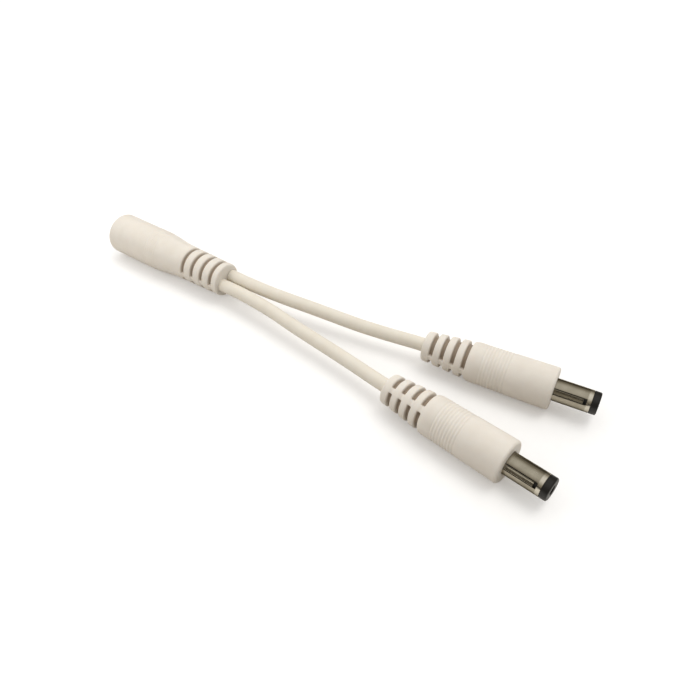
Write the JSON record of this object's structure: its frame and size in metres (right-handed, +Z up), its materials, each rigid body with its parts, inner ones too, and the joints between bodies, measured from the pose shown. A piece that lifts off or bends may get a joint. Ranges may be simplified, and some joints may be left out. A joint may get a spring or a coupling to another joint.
{
  "type": "power line splitter",
  "caption": "Low-voltage power splitter lead: a moulded ivory barrel socket joined by short flexible legs to barrel plugs with slotted strain reliefs and bright sleeves.",
  "frame": {"origin": "on the surface the lead lies on, under the middle of its bounding box", "axes": "+X along the lead from the socket's mouth towards the plugs, +Y across it towards the left plug, +Z up"},
  "size_m": [0.1424, 0.0356, 0.0116],
  "materials": {
    "ivory_pvc": "satin moulded PVC, warm ivory",
    "ivory_cable": "smooth satin PVC jacket, slightly creamier ivory",
    "nickel_plate": "bright nickel plate on brass",
    "black_plastic": "satin black moulded insulator",
    "spring_bronze": "rolled phosphor bronze",
    "natural_plastic": "unpigmented polyethylene",
    "red_pvc": "red PVC conductor insulation",
    "black_pvc": "black PVC conductor insulation"
  },
  "bodies": {
    "root": {"jack_overmould": "ivory_pvc", "jack_insert": "black_plastic", "jack_center_pin": "nickel_plate", "jack_sleeve_spring": "spring_bronze", "jack_inner_mould": "natural_plastic", "left_wire_jack_positive": "red_pvc", "left_wire_jack_negative": "black_pvc", "right_wire_jack_positive": "red_pvc", "right_wire_jack_negative": "black_pvc", "left_cable": "ivory_cable", "right_cable": "ivory_cable", "left_plug_overmould": "ivory_pvc", "left_plug_inner_mould": "natural_plastic", "left_plug_sleeve": "nickel_plate", "left_plug_insulator": "black_plastic", "left_plug_contact": "nickel_plate", "left_plug_wire_positive": "red_pvc", "left_plug_wire_negative": "black_pvc", "right_plug_overmould": "ivory_pvc", "right_plug_inner_mould": "natural_plastic", "right_plug_sleeve": "nickel_plate", "right_plug_insulator": "black_plastic", "right_plug_contact": "nickel_plate", "right_plug_wire_positive": "red_pvc", "right_plug_wire_negative": "black_pvc"}
  },
  "joints": []
}
